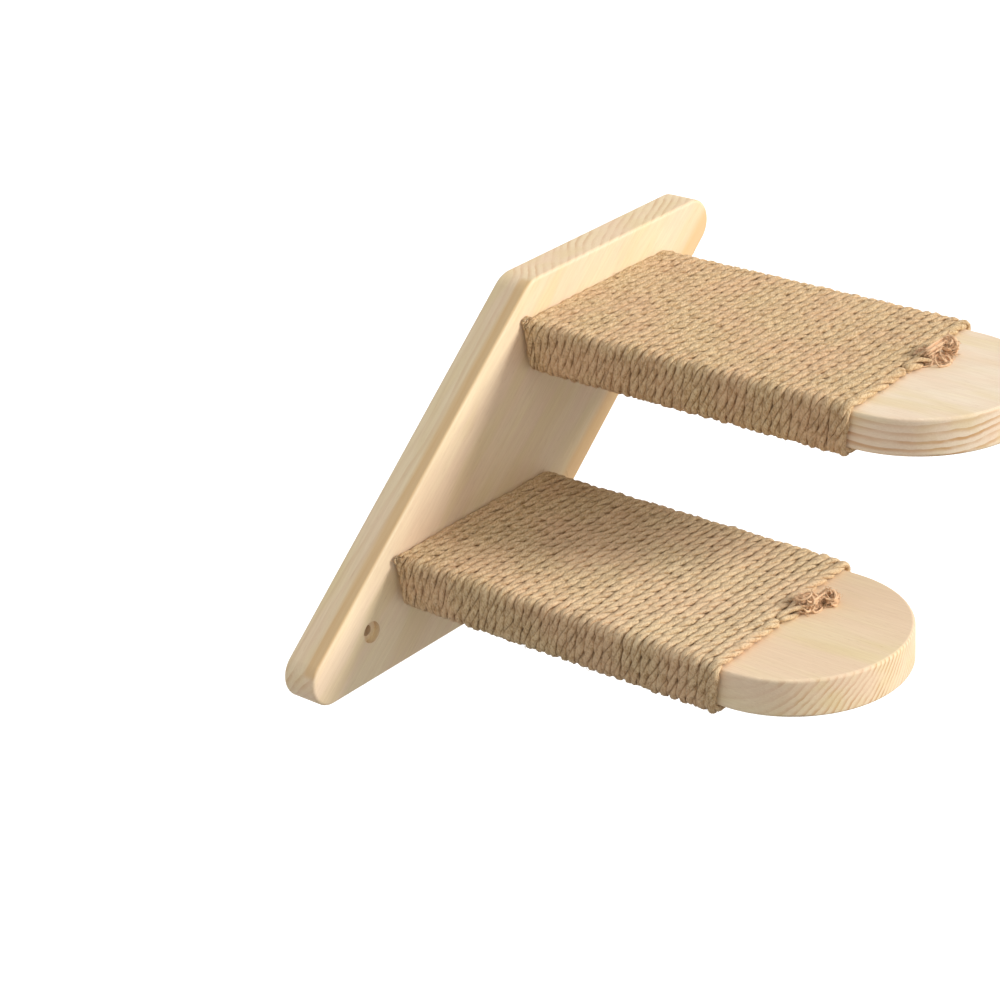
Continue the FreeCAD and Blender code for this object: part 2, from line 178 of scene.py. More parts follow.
PINE_EARLY, PINE_EARLY_PALE, PINE_LATE = paint(246, 226, 190), paint(248, 231, 206), paint(204, 156, 106)
PINE_ROSY, PINE_STRAW = paint(243, 213, 186), paint(234, 214, 160)
PINE_FIBRE, PINE_CANAL = paint(190, 154, 110), paint(166, 122, 78)
PINE_END, PINE_WORN = paint(220, 182, 134), paint(250, 234, 204)
RIGHT_EDGE_TAN, EDGE_STREAK = paint(230, 184, 120), paint(222, 180, 120)
JUTE_DARK, JUTE_PALE, JUTE_YARN = paint(172, 128, 79), paint(238, 209, 162), paint(250, 226, 184)
JUTE_PATCH, JUTE_BLOTCH, JUTE_FLECK = paint(232, 188, 150), paint(162, 118, 70), paint(124, 84, 44)
# The first colour below is painted light, laid on the ropes' top faces towards the tread's free end.
JUTE_PAINTED_LIGHT, JUTE_LOOSE, JUTE_FRAYED = paint(255, 236, 200), paint(240, 212, 170), paint(255, 214, 172)
ZINC_DARK, ZINC_PALE = paint(176, 178, 182), paint(214, 214, 212)

# How often a feature of the pine changes, per millimetre along the grain and across it.
PINE_CHANGES = {
    "heart": (0.006, 0.0), "wave": (0.010, 0.030), "ripple": (0.03, 0.30), "late": (0.02, 0.10),
    "rosy": (0.012, 0.05), "straw": (0.020, 0.08), "fibres": (0.05, 1.6), "canals": (0.18, 3.2),
}
# From where to where the noise of a feature makes a step, and between which shares.
PINE_STEPS = {
    "year": (0.30, 0.62, 0.45, 1.0), "late": (0.30, 0.55, 0.35, 1.0), "rosy": (0.35, 0.65, 0.0, 0.60),
    "straw": (0.46, 0.70, 0.0, 0.42), "fibres": (0.35, 0.75, 0.16, 0.0), "canals": (0.66, 0.76, 0.0, 0.24),
}
# Between which shares of its width a ring darkens and between which it stops, and the noise scale from year to year.
RING_DARKENS, RING_STOPS, YEAR_SCALE = (0.32, 0.86), (1.0, 0.93), 0.73
# How far the tree's heart wanders, how far a ring strays in waves and in ripples, and how wide the worn edges are,
# in millimetres.
HEART_RANGE, WAVE_RANGE, RIPPLE_RANGE, WORN_WIDTH = 22.0, 7.0, 0.8, 1.0
# The board's two streaks, in millimetres from its middle: across it, where each sets in and where it is full, how
# wavy the right one is, and through it, the same for the left one's back and front.
RIGHT_STREAK, LEFT_STREAK, STREAK_WAVES = (-36.0, -41.0), (46.6, 47.8), 5.0
LEFT_STREAK_BACK, LEFT_STREAK_FRONT = (1.0, 4.0), (9.0, 8.0)

# How often the jute changes: its patches, blotches and flecks per metre, its fibres and yarns as noise scales, and
# how these two are drawn out, along the strand and, for the yarns, round it.
PATCH_SCALE, BLOTCH_SCALE, FLECK_SCALE = 36.0, 330.0, 900.0
FIBRE_SCALE, YARN_SCALE = 4.2, 1.6
FIBRE_ALONG, YARN_ALONG, YARN_ROUND = 1.6, 2.2, 0.8
# The jute's steps, written as the pine's are.
JUTE_STEPS = {
    "fibre": (0.34, 0.62), "yarn": (0.35, 0.7, 0.0, 0.5), "patch": (0.35, 0.7, 0.0, 0.45),
    "blotch": (0.50, 0.70, 0.0, 0.42), "fleck": (0.56, 0.70, 0.0, 0.40),
}
# Painted light: how much paler each rope's top faces are painted at the tread's free end, for the key light that
# falls there, and between which ways out they get so, in metres.
TIP_PAINTED_LIGHT, PAINTED_LIGHT_RANGE = {"lower": 0.28, "upper": 0.04}, (0.03, 0.16)
# How many times a fibre goes round its strand in a centimetre, and how much of the frayed end's tint is taken.
FIBRE_LEAN, FRAYED_SHARE = 1.2, 0.90


# ---------------------------------------------------------------- materials

class Shader:
    """A new material with one Principled shader, and a short call for each kind of node."""

    def __init__(self, name, roughness=0.6):
        self.material = bpy.data.materials.new(name)
        self.material.use_nodes = True
        self.tree = self.material.node_tree
        self.surface = self.tree.nodes["Principled BSDF"]
        self.surface.inputs["Roughness"].default_value = roughness

    def put(self, socket, value):
        """Links a node's output to the socket, or sets the socket to a value."""
        if isinstance(value, bpy.types.NodeSocket):
            self.tree.links.new(value, socket)
        else:
            socket.default_value = value

    def node(self, kind, **settings):
        """A new shader node of this kind."""
        made = self.tree.nodes.new("ShaderNode" + kind)
        for key, value in settings.items():
            setattr(made, key, value)
        return made

    def math(self, operation, first, second=0.0, third=0.0):
        made = self.node("Math", operation=operation)
        for socket, value in zip(made.inputs, (first, second, third)):
            self.put(socket, value)
        return made.outputs[0]

    def add(self, first, second):
        return self.math("ADD", first, second)

    def times(self, first, second):
        return self.math("MULTIPLY", first, second)

    def times_add(self, first, second, third):
        return self.math("MULTIPLY_ADD", first, second, third)

    def vector_math(self, operation, first, second):
        made = self.node("VectorMath", operation=operation)
        self.put(made.inputs[0], first)
        self.put(made.inputs[1], second)
        return made

    def dot(self, first, second):
        return self.vector_math("DOT_PRODUCT", first, second).outputs["Value"]

    def combine(self, x, y, z):
        made = self.node("CombineXYZ")
        for socket, value in zip(made.inputs, (x, y, z)):
            self.put(socket, value)
        return made.outputs[0]

    def place(self):
        """The place in the object's own metres."""
        return self.node("TexCoord").outputs["Object"]

    def outside(self):
        """The direction that the face looks, without bumps."""
        return self.node("NewGeometry").outputs["True Normal"]

    def noise(self, vector, scale=1.0, detail=2.0, roughness=0.5):
        """Noise from 0 to 1, about 0.5."""
        made = self.node("TexNoise")
        self.put(made.inputs["Vector"], vector)
        self.put(made.inputs["Scale"], scale)
        self.put(made.inputs["Detail"], detail)
        self.put(made.inputs["Roughness"], roughness)
        return made.outputs["Fac"]

    def rise(self, value, low, high, least=0.0, most=1.0):
        """A smooth step from least to most as value goes from low to high."""
        made = self.node("MapRange", interpolation_type="SMOOTHSTEP")
        for socket, given in zip(made.inputs, (value, low, high, least, most)):
            self.put(socket, given)
        return made.outputs[0]

    def mix(self, share, first, second):
        """The first colour with this share of the second."""
        made = self.node("Mix", data_type="RGBA", blend_type="MIX")
        self.put(made.inputs[0], share)
        self.put(made.inputs[6], first)
        self.put(made.inputs[7], second)
        return made.outputs[2]

    def bump(self, height, distance, strength):
        made = self.node("Bump")
        self.put(made.inputs["Height"], height)
        self.put(made.inputs["Distance"], distance)
        self.put(made.inputs["Strength"], strength)
        return made.outputs[0]

    def finish(self, colour, roughness=None, normal=None):
        """Gives the surface its colour, and its roughness and normal where they are given."""
        self.put(self.surface.inputs["Base Color"], colour)
        if roughness is not None:
            self.put(self.surface.inputs["Roughness"], roughness)
        if normal is not None:
            self.put(self.surface.inputs["Normal"], normal)
        return self.material


def pine(name, grain, across, through, pith, ring_gap, seed, level, edge, cut, early):
    """Solid pine: rings about a pith, so that faces, edges and ends of the plank belong together.

    grain, across and through are the plank's three directions, and pith is where the tree's heart lies, across and
    through from the plank's middle. ring_gap is the way from ring to ring. level, edge and cut are how strongly the
    rings show on the broad faces, the long edges and the cut ends, and early is the early wood's colour. Returns the
    shader, its colour and the places along the three directions.
    """
    s = Shader(name + "_pine")
    low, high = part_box(name)
    moved = s.vector_math("SUBTRACT", s.place(), tuple((low + high) / 2)).outputs[0]
    g, a, b = (s.dot(moved, tuple(c / MM for c in direction)) for direction in (grain, across, through))

    def cloud(feature, offset, detail=2.0, roughness=0.5):
        """Noise of one feature of the pine, drawn out along the grain."""
        lengthwise, crosswise = PINE_CHANGES[feature]
        place = s.combine(s.times(g, lengthwise), s.times(a, crosswise), s.add(s.times(b, crosswise), offset))
        return s.noise(place, detail=detail, roughness=roughness)

    # The tree isn't straight: its heart wanders, and each ring is wavy.
    from_a = s.times_add(cloud("heart", seed, 1.0), HEART_RANGE, s.add(a, -pith[0] - HEART_RANGE / 2))
    from_b = s.times_add(cloud("heart", seed + 7.3, 1.0), HEART_RANGE, s.add(b, -pith[1] - HEART_RANGE / 2))
    radius = s.math("SQRT", s.add(s.times(from_a, from_a), s.times(from_b, from_b)))
    radius = s.times_add(cloud("wave", seed), WAVE_RANGE, radius)
    radius = s.times_add(cloud("ripple", seed, 1.0), RIPPLE_RANGE, radius)
    rings = s.math("DIVIDE", radius, ring_gap)
    number, part = s.math("FLOOR", rings), s.math("FRACT", rings)

    # A ring darkens slowly towards its late wood, and then stops short. Some years are faint.
    year = s.noise(s.combine(number, seed, 0.0), scale=YEAR_SCALE, detail=0.0)
    late = s.times(s.rise(part, *RING_DARKENS), s.rise(part, *RING_STOPS))
    late = s.times(late, s.rise(year, *PINE_STEPS["year"]))
    late = s.times(late, s.rise(cloud("late", seed + 3.0), *PINE_STEPS["late"]))

    outside = s.outside()
    end = s.rise(s.math("ABSOLUTE", s.dot(outside, grain)), 0.25, 0.75)
    broad = s.rise(s.math("ABSOLUTE", s.dot(outside, through)), 0.3, 0.8)
    shown = s.times_add(end, cut - edge, s.times_add(broad, level - edge, edge))

    colour = s.mix(s.times(late, shown), early, PINE_LATE)
    colour = s.mix(s.rise(cloud("rosy", seed, 3.0), *PINE_STEPS["rosy"]), colour, PINE_ROSY)
    colour = s.mix(s.rise(cloud("straw", seed + 31.0), *PINE_STEPS["straw"]), colour, PINE_STRAW)

    # Fibres and resin canals, long and thin on faces, dots on ends.
    fibres = cloud("fibres", seed, 3.0, 0.6)
    colour = s.mix(s.rise(fibres, *PINE_STEPS["fibres"]), colour, PINE_FIBRE)
    canals = cloud("canals", seed, 1.0)
    colour = s.mix(s.rise(canals, *PINE_STEPS["canals"]), colour, PINE_CANAL)
    colour = s.mix(s.times(end, 0.12), colour, PINE_END)

    # Handling rubs the edges smooth and a little lighter.
    soft = s.node("Bevel", samples=4)
    soft.inputs["Radius"].default_value = WORN_WIDTH * MM
    wear_and_painted_light = s.rise(s.math("SUBTRACT", 1.0, s.dot(soft.outputs[0], outside)), 0.02, 0.3)
    colour = s.mix(s.times(wear_and_painted_light, 0.15), colour, PINE_WORN)

    rough = s.times_add(fibres, 0.16, 0.50)
    rough = s.math("SUBTRACT", rough, s.times(wear_and_painted_light, 0.10))
    relief = s.add(s.times(fibres, 0.5), s.times_add(late, -0.35, s.times(canals, -0.4)))
    s.surface.inputs["Specular IOR Level"].default_value = 0.28
    s.finish(colour, rough, s.bump(relief, 0.10 * MM, 0.5))
    return s, colour, g, a, b


def board_streaks(s, colour, g, a, b):
    """The board's two tan streaks: a wavy, darker one along its right edge, and a narrow one on its left edge face.
    """
    waves = s.noise(s.combine(s.times(g, 0.03), 0.0, 5.0))
    right = s.rise(s.times_add(waves, STREAK_WAVES, s.add(a, -STREAK_WAVES / 2)), *RIGHT_STREAK)
    colour = s.mix(s.times(right, 0.62), colour, RIGHT_EDGE_TAN)
    left = s.times(s.rise(a, *LEFT_STREAK), s.times(s.rise(b, *LEFT_STREAK_BACK), s.rise(b, *LEFT_STREAK_FRONT)))
    colour = s.mix(s.times(left, 0.60), colour, EDGE_STREAK)
    s.finish(colour)


def jute(name, seed, lean, tint=None, share=0.6, painted_tip_light=0.0):
    """Jute fibres that lie along the strand, read from the strand map: length in centimetres and share of the girth.

    lean is how many times a fibre goes round the strand in a centimetre. tint is mixed in by share. painted_tip_light
    is how much paler the top faces are painted at the tread's free end than near the board: painted light, for the
    key light that falls on the tip.
    """
    s = Shader(name, 0.9)
    split = s.node("SeparateXYZ")
    s.put(split.inputs[0], s.node("UVMap", uv_map="strand").outputs[0])
    length, girth = split.outputs[0], split.outputs[1]
    angle = s.times(s.add(girth, s.times(length, lean)), 2 * math.pi)
    round_a, round_b = s.math("COSINE", angle), s.math("SINE", angle)
    along_fibre = s.combine(s.times(length, FIBRE_ALONG), round_a, s.add(round_b, seed))
    fibre = s.noise(along_fibre, scale=FIBRE_SCALE, detail=4.0, roughness=0.7)
    yarn_a, yarn_b = s.times(round_a, YARN_ROUND), s.times(round_b, YARN_ROUND)
    along_yarn = s.combine(s.times(length, YARN_ALONG), yarn_a, s.add(yarn_b, seed))
    yarn = s.noise(along_yarn, scale=YARN_SCALE)
    place = s.place()
    patch = s.noise(place, scale=PATCH_SCALE, detail=3.0)
    blotch = s.noise(place, scale=BLOTCH_SCALE)
    fleck = s.noise(place, scale=FLECK_SCALE)

    colour = s.mix(s.rise(fibre, *JUTE_STEPS["fibre"]), JUTE_DARK, JUTE_PALE)
    colour = s.mix(s.rise(yarn, *JUTE_STEPS["yarn"]), colour, JUTE_YARN)
    colour = s.mix(s.rise(patch, *JUTE_STEPS["patch"]), colour, JUTE_PATCH)
    colour = s.mix(s.rise(blotch, *JUTE_STEPS["blotch"]), colour, JUTE_BLOTCH)
    colour = s.mix(s.rise(fleck, *JUTE_STEPS["fleck"]), colour, JUTE_FLECK)
    # Painted light: the top faces are painted paler towards the tread's free end, for the key light that falls there.
    if painted_tip_light:
        outward = s.dot(place, OUT)
        upward = s.dot(s.outside(), UP)
        wear_and_painted_light = s.times(s.rise(outward, *PAINTED_LIGHT_RANGE), s.rise(upward, 0.1, 0.7))
        colour = s.mix(s.times(wear_and_painted_light, painted_tip_light), colour, JUTE_PAINTED_LIGHT)
    if tint is not None:
        colour = s.mix(share, colour, tint)
    height = s.add(s.add(fibre, s.times(yarn, 0.5)), s.add(s.times(blotch, -0.8), s.times(fleck, -0.5)))
    s.surface.inputs["Specular IOR Level"].default_value = 0.12
    s.surface.inputs["Sheen Weight"].default_value = 0.10
    return s.finish(colour, s.times_add(fibre, 0.12, 0.80), s.bump(height, 0.45 * MM, 0.9))


def zinc(name):
    """Plated steel, a little cloudy, with fine turning marks."""
    s = Shader(name, 0.35)
    place = s.place()
    cloud = s.noise(place, scale=600.0, detail=3.0)
    marks = s.noise(place, scale=4000.0, detail=2.0)
    colour = s.mix(s.rise(cloud, 0.3, 0.7), ZINC_DARK, ZINC_PALE)
    s.surface.inputs["Metallic"].default_value = 1.0
    return s.finish(colour, s.times_add(cloud, 0.25, 0.22), s.bump(marks, 0.03 * MM, 0.5))


def paper(name):
    """The floor's matt paper."""
    s = Shader(name, 0.9)
    s.surface.inputs["Base Color"].default_value = FLOOR_COLOUR
    s.surface.inputs["Emission Color"].default_value = (1, 1, 1, 1)
    s.surface.inputs["Emission Strength"].default_value = FLOOR_GLOW
    return s.material


# ---------------------------------------------------------------- meshes

def unit(v):
    """The vectors at length 1."""
    return v / np.linalg.norm(v, axis=-1, keepdims=True)


def way_along(points):
    """How far each of the points lies along the line through them."""
    return np.concatenate([[0], np.cumsum(np.linalg.norm(np.diff(points, axis=0), axis=1))])


def mesh_of(name, points, faces, maps=()):
    """A smooth mesh object from arrays. faces is a list of index arrays, one for each number of corners."""
    mesh = bpy.data.meshes.new(name)
    sizes = np.concatenate([np.full(len(f), f.shape[1]) for f in faces])
    corners = np.concatenate([f.ravel() for f in faces]).astype(np.int32)
    mesh.vertices.add(len(points))
    mesh.vertices.foreach_set("co", points.astype(np.float32).ravel())
    mesh.loops.add(len(corners))
    mesh.loops.foreach_set("vertex_index", corners)
    mesh.polygons.add(len(sizes))
    mesh.polygons.foreach_set("loop_start", np.concatenate([[0], np.cumsum(sizes)[:-1]]).astype(np.int32))
    mesh.polygons.foreach_set("use_smooth", np.ones(len(sizes), bool))
    for layer, uv in maps:
        mesh.uv_layers.new(name=layer).data.foreach_set("uv", uv.astype(np.float32).ravel())
    mesh.update(calc_edges=True)
    mesh.validate()
    made = bpy.data.objects.new(name, mesh)
    bpy.context.scene.collection.objects.link(made)
    return made


def tube_faces(index):
    """The faces between the rings of closed tubes, from their points' numbers as tubes by rings by sides."""
    here, there = index[:, :-1], index[:, 1:]
    return np.stack([here, np.roll(here, -1, 2), np.roll(there, -1, 2), there], -1).reshape(-1, 4)


def tubes(name, paths, radii, sides):
    """One object of many closed round tubes with the same number of points each."""
    tangent = unit(np.gradient(paths, axis=1))
    # A direction that the tube doesn't follow, to measure its sides from.
    helper = np.where(np.abs(tangent[..., 2:]) > 0.8, RIGHT, UP)
    side = unit(np.cross(tangent, helper))
    other = np.cross(tangent, side)
    turn = np.arange(sides) * 2 * math.pi / sides
    ring = np.cos(turn)[:, None] * side[:, :, None] + np.sin(turn)[:, None] * other[:, :, None]
    return skin(name, paths[:, :, None] + radii[:, :, None, None] * ring)


def skin(name, at, rows=None):
    """An object of many closed tubes, from tubes by points by sides by 3 places.

    The map "strand" has the length in centimetres and the share of the girth. Where rows is set, the one tube also
    gets a bake map with that many sections to a row.
    """
    count, points, sides = at.shape[:3]
    paths = at.mean(axis=2)
    index = np.arange(count * points * sides).reshape(count, points, sides)
    caps = np.concatenate([index[:, 0, ::-1], index[:, -1]])

    step = np.linalg.norm(np.diff(paths, axis=1), axis=2)
    run = np.concatenate([np.zeros((count, 1)), np.cumsum(step, 1)], 1) / (10 * MM)
    apart = 3.7  # centimetres from tube to tube on the map, so that each has fibres of its own
    u = np.broadcast_to(run[:, :, None], (count, points, sides + 1)) + np.arange(count)[:, None, None] * apart
    v = np.broadcast_to(np.arange(sides + 1) / sides, u.shape)
    uv = np.stack([u, v], -1)
    quad_uv = np.stack([uv[:, :-1, :-1], uv[:, :-1, 1:], uv[:, 1:, 1:], uv[:, 1:, :-1]], -2).reshape(-1, 2)
    cap_uv = np.concatenate([uv[:, 0, sides - 1::-1], uv[:, -1, :-1]]).reshape(-1, 2)
    maps = [("strand", np.concatenate([quad_uv, cap_uv]))]
    if rows:
        maps.append(("OFBake", bake_rows(points, sides, rows)))
    return mesh_of(name, at.reshape(-1, 3), [tube_faces(index), caps], maps)


def bake_rows(points, sides, per_row, margin=0.1):
    """A map for one long tube in rows that don't overlap, with its two caps in a corner of their own."""
    section = np.arange(points - 1)
    row, column = section // per_row, section % per_row
    total = row[-1] + 2
    left, right = column / per_row, (column + 1) / per_row
    edge = np.arange(sides + 1) / sides * (1 - 2 * margin) + margin
    low = (row[:, None] + edge[:-1]) / total
    high = (row[:, None] + edge[1:]) / total
    left, right = np.broadcast_to(left[:, None], low.shape), np.broadcast_to(right[:, None], low.shape)
    quads = np.stack([np.stack(corner, -1) for corner in ((left, low), (left, high), (right, high), (right, low))], 2)
    turn = np.arange(sides) * 2 * math.pi / sides
    disc = np.stack([np.cos(turn), np.sin(turn)], -1) * 0.4 / total
    caps = np.concatenate([disc[::-1] + [0.25, 1 - 0.5 / total], disc + [0.75, 1 - 0.5 / total]])
    return np.concatenate([quads.reshape(-1, 2), caps])


def wander(at, span, amount, random):
    """A smooth random line over at, with a new value about every span, within amount."""
    knots = int(np.ceil((at.max() - at.min()) / span)) + 3
    values = random.uniform(-amount, amount, knots)
    place = (at - at.min()) / span
    first = place.astype(int)
    share = place - first
    share = share * share * (3 - 2 * share)
    return values[first] * (1 - share) + values[first + 1] * share


def uneven(at, drifts, random, about=0.0):
    """A line over at that strays from about by each of the drifts, which are spans and amounts."""
    return sum((wander(at, span, amount, random) for span, amount in drifts), about)


def smooth_route(points, step, per_span=24):
    """Points a step apart on a smooth curve through the given ones."""
    points = np.array(points, float)
    ends = np.concatenate([[2 * points[0] - points[1]], points, [2 * points[-1] - points[-2]]])
    share = np.linspace(0, 1, per_span, endpoint=False)[:, None]
    out = []
    for a, b, c, d in zip(ends, ends[1:], ends[2:], ends[3:]):
        straight = 2 * b + (c - a) * share
        bend = (2 * a - 5 * b + 4 * c - d) * share ** 2 + (3 * b - a - 3 * c + d) * share ** 3
        out.append(0.5 * (straight + bend))
    out = np.concatenate(out + [points[-1:]])
    run = way_along(out)
    even = np.linspace(0, run[-1], max(2, int(run[-1] / step)))
    return np.stack([np.interp(even, run, out[:, k]) for k in range(3)], -1)


# ---------------------------------------------------------------- the rope

def round_the_wood(at, half_width, half_thick, clear):
    """Where the rope's middle is after a way of at round the plank, which begins at the left end of the top face.

    Returns its places across and up, its outward direction across and up, its advance, which goes from 0 to 1 in the
    shares that the top, the two sides and the bottom have of it, how near the left foot is, from 0 to 1, and the
    length of a turn.
    """
    bend = TREAD_EDGE_ROUND + clear
    x0, z0 = half_width - TREAD_EDGE_ROUND, half_thick - TREAD_EDGE_ROUND
    flat, wall, arc = 2 * x0, 2 * z0, bend * math.pi / 2
    # The eight parts of a turn: top, corner, right side, corner, bottom, corner, left side, corner.
    marks = np.cumsum([0, flat, arc, wall, arc, flat, arc, wall, arc])
    part = np.clip(np.searchsorted(marks, at, side="right") - 1, 0, 7)
    q = at - marks[part]
    turn = (np.where(part % 2 == 1, q / arc, 0) + part // 2) * math.pi / 2
    nx, nz = np.sin(turn), np.cos(turn)
    cx = np.choose(part, [q - x0, x0, x0, x0, x0 - q, -x0, -x0, -x0])
    cz = np.choose(part, [z0, z0, z0 - q, -z0, -z0, -z0, q - z0, z0])
    after_side = STEP_TOP + STEP_SIDE
    after_bottom = after_side + STEP_BOTTOM
    advance = np.choose(part, [
        STEP_TOP * q / flat, STEP_TOP, STEP_TOP + STEP_SIDE * q / wall, after_side,
        after_side + STEP_BOTTOM * q / flat, after_bottom, after_bottom + STEP_SIDE * q / wall, 1.0,
    ])
    to_left_foot = np.choose(part, [0.0, 0.0, 0.0, 0.0, q / flat, 1.0, 1 - q / wall, 0.0])
    return cx + bend * nx, cz + bend * nz, nx, nz, advance, to_left_foot, marks[-1]


def rope_line(half_width, half_thick, turns, pitch, random):
    """The rope's middle: its points, outward directions and share of thickness, and how many points are the tail."""
    clear = ROPE_HALF_THICK + WOOD_GAP
    loop = round_the_wood(np.zeros(1), half_width, half_thick, clear)[-1]
    step = loop / SECTIONS_PER_TURN
    last_top = int((TAIL_ROUTE[0][0] - TREAD_EDGE_ROUND) / step)
    section = np.arange(-int(FIRST_SIDE / step), turns * SECTIONS_PER_TURN + last_top)
    turn, at = section // SECTIONS_PER_TURN, section * step
    x, z, nx, nz, advance, foot, _ = round_the_wood(section % SECTIONS_PER_TURN * step, half_width, half_thick, clear)
    out = FIRST_TURN_OUT + pitch * (turn + advance) + FIRST_LEAN * foot * np.clip(1 - turn / LEAN_TURNS, 0, 1)
    out += uneven(at, SIDEWAYS_DRIFT, random)
    out = np.maximum(out, ROPE_HALF_WIDE + BOARD_GAP)
    lift = uneven(at, LIFT_DRIFT, random)
    points = np.stack([x + nx * lift, out, z + nz * lift], -1)
    outward = np.stack([nx, np.zeros_like(nx), nz], -1)

    bed, end = half_thick + clear, out[-1]
    route = [(across - half_width, end + over, bed + up) for across, over, up in TAIL_ROUTE]
    tail = smooth_route([points[-1]] + route[1:], step)[1:]
    points = np.concatenate([points, tail])
    outward = np.concatenate([outward, np.broadcast_to(UP, tail.shape)])

    from_pinch = np.hypot(points[:, 0] + half_width - PINCH_AT, points[:, 1] - end)
    from_pinch[outward[:, 2] < 0.9] = np.inf  # only the top is pinched, not the sides and bottom below it
    pinch = 1 - PINCH_SHARE * np.exp(-(from_pinch / PINCH_WIDTH) ** 2)
    started = np.arange(len(points)) * step / FIRST_SIDE
    pinch *= np.clip(START_SHARE + (1 - START_SHARE) * started, 0, 1)
    return points, outward, pinch, len(tail)


def in_frame(points, origin):
    """A tread's own millimetres as metres in the CAD frame."""
    return origin + np.stack([points[..., 0], -points[..., 1], points[..., 2]], -1) * MM


def strand_skins(points, outward, pinch, random):
    """The three strands of the rope that follows points, each as points by sides by 3 places.

    A tread's own frame mirrors the CAD frame, so a turn backwards here lays the rope to the right there.
    """
    run = way_along(points)
    tangent = unit(np.gradient(points, axis=0))
    normal = unit(outward - (outward * tangent).sum(-1, keepdims=True) * tangent)
    other = np.cross(tangent, normal)
    thick = pinch * uneven(run, ROPE_DRIFT, random, 1.0)
    twist = uneven(run, TWIST_DRIFT, random, -2 * math.pi * run / LAY_LENGTH)
    opened = np.clip((run - run[-1]) / OPEN_LENGTH + 1, 0, 1) ** 1.5
    for k in range(STRANDS):
        phase = uneven(run, PHASE_DRIFT, random, twist + 2 * math.pi * k / STRANDS)
        full = thick * uneven(run, STRAND_DRIFT, random, 1.0)
        groove = GROOVE_DEPTH / ROPE_HALF_WIDE * uneven(run, GROOVE_DRIFT, random, 1.0)
        places = []
        for turn, reach in STRAND_SECTION:
            angle = phase + turn * math.pi / STRANDS
            out = reach * (full - groove * abs(turn) ** GROOVE_POWER) + random.normal(0, ROUGHNESS, len(run))
            sine, cosine = np.sin(angle), np.cos(angle)
            out = out / (np.abs(sine) ** ROPE_SQUARE + np.abs(cosine) ** ROPE_SQUARE) ** (1 / ROPE_SQUARE)
            wide, high = ROPE_HALF_WIDE * out * sine, ROPE_HALF_THICK * out * cosine
            places.append(points + wide[:, None] * other + high[:, None] * normal)
        apart = opened[:, None] * (np.cos(phase)[:, None] * normal + np.sin(phase)[:, None] * other)
        yield np.stack(places, 1) + apart[:, None] * OPEN_WIDTH


def fuzz(points, outward, random):
    """Loose fibres that leave the rope's skin at low angles: many lines of few points."""
    count = FUZZ_COUNT
    at = random.integers(2, len(points) - 2, count)
    tangent = unit(points[at + 1] - points[at - 1])
    normal = outward[at]
    other = np.cross(tangent, normal)
    turn = random.uniform(-FUZZ_TURN, FUZZ_TURN, count)
    away = np.cos(turn)[:, None] * normal + np.sin(turn)[:, None] * other
    start = points[at] + away * (ROPE_HALF_THICK - FUZZ_SINK)
    sign = np.where(random.random(count) < 0.5, -1.0, 1.0)[:, None]
    aim = tangent * sign + other * random.uniform(*FUZZ_ACROSS, (count, 1))
    aim = unit(aim + away * random.uniform(*FUZZ_OFF, (count, 1)))
    length = random.gamma(*FUZZ_LENGTH, count)[:, None]
    curl = random.normal(0, FUZZ_CURL, (count, 3))
    share = np.linspace(0, 1, 4)
    bend = curl - FUZZ_DROOP * away
    return np.stack([start + aim * length * t + bend * length * t * t for t in share], 1)


def curled_end(tip, aim, lead, radius, angle, random):
    """The yarns of one strand's end: they go on for lead and then curl round together, loosely."""
    lines = []
    for _ in range(YARN_COUNT):
        facing = unit(np.array(CURL_FACES) + random.normal(0, CURL_SPREAD, 3))
        first = unit(aim - (aim * facing).sum() * facing)
        second = np.cross(facing, first)
        second = second * np.sign(second[1])  # every curl goes out, away from the winding
        size = radius * random.uniform(*CURL_SIZE)
        shift = random.normal(0, 1, 3) * YARN_SPREAD + YARN_LIFT
        phi = np.radians(np.linspace(0, angle * random.uniform(*CURL_ANGLE), CURL_POINTS))[:, None]
        ring = first * np.sin(phi) + second * (1 - np.cos(phi)) + facing * CURL_CLIMB * phi * random.normal()
        straight = np.linspace(YARN_START, lead, STRAIGHT_POINTS + 1)[:-1, None] * aim
        sway = unit(random.normal(0, 1, 3)) * YARN_SWAY
        swing = np.linspace(0, YARN_SWING, STRAIGHT_POINTS + CURL_POINTS) + random.uniform(0, 6)
        line = np.concatenate([straight, lead * aim + size * ring])
        lines.append(tip + shift + sway * np.sin(swing)[:, None] + line)
    return np.stack(lines)


def beard(lines, random):
    """Short curled fibres that leave points of the given lines."""
    count = BEARD_COUNT
    start = lines[random.integers(0, len(lines), count), random.integers(3, lines.shape[1], count)]
    way = unit(random.normal(0, 1, (count, 3)))
    over = unit(np.cross(way, random.normal(0, 1, (count, 3))))
    size = random.uniform(*BEARD_LENGTH, (count, 1)) / BEARD_BEND
    turn = np.linspace(0, BEARD_BEND, 7)
    return np.stack([start + size * (way * math.sin(t) + over * (1 - math.cos(t))) for t in turn], 1)


def loose_loop(corner, random):
    """A yarn of the rope's start that stands off the corner in a small open loop."""
    turn = np.linspace(0, random.uniform(*LOOP_TURN) * math.pi, 22) + random.uniform(0, 2)
    size = random.uniform(*LOOP_SIZE)
    tilt = unit(random.normal(0, 1, 3) + LOOP_TILT)
    first = unit(np.cross(tilt, UP))
    second = np.cross(tilt, first)
    ring = np.cos(turn)[:, None] * first + np.sin(turn)[:, None] * second
    loop = corner + random.normal(0, LOOP_SCATTER, 3) + ring * size
    loop[:, 1] = np.clip(loop[:, 1], *LOOP_OUT)
    return loop


def above(lines, floor):
    """The lines with what would go into the wood laid on it."""
    lines[..., 2] = np.maximum(lines[..., 2], floor)
    return lines


def radii_of(lines, shares, radii, spread, random):
    """Radii in metres along each of the lines: those at shares of the length, times a random factor for each line."""
    along = np.interp(np.linspace(0, 1, lines.shape[1]), shares, radii)
    return along[None] * random.uniform(*spread, (len(lines), 1)) * MM


